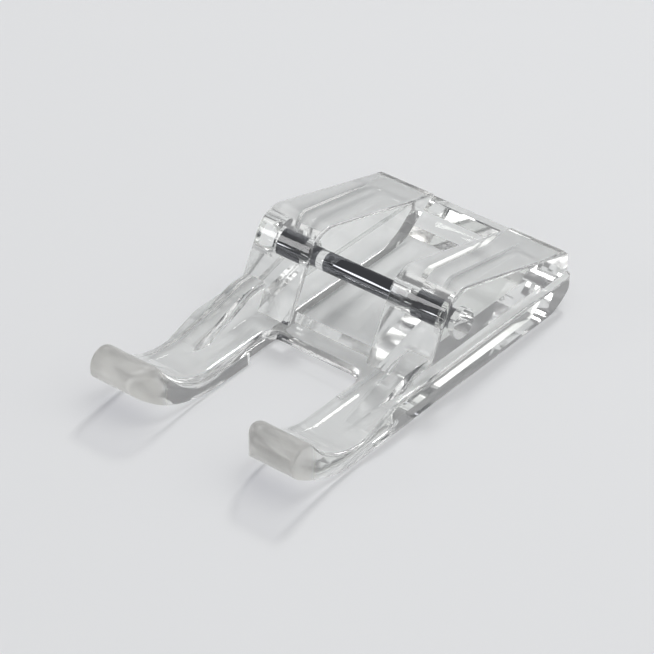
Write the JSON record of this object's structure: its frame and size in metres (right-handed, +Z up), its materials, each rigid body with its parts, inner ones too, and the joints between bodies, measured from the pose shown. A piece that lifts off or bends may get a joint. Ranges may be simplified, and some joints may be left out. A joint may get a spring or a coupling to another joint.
{
  "type": "sewing machine presser foot",
  "caption": "Clear moulded open-toe presser foot with upturned toes, raised cheeks and a steel cross pin that snaps into a sewing machine's foot holder.",
  "frame": {"origin": "middle of the foot's length and width, on the plane that the sole rests on", "axes": "+Z up, +Y from the toes back to the heel, +X across the foot along the pin"},
  "size_m": [0.0188, 0.0326, 0.0077],
  "materials": {
    "clear_plastic": "polished, clear",
    "pin_steel": "polished"
  },
  "bodies": {
    "root": {"foot_body": "clear_plastic", "cross_pin": "pin_steel"}
  },
  "joints": []
}
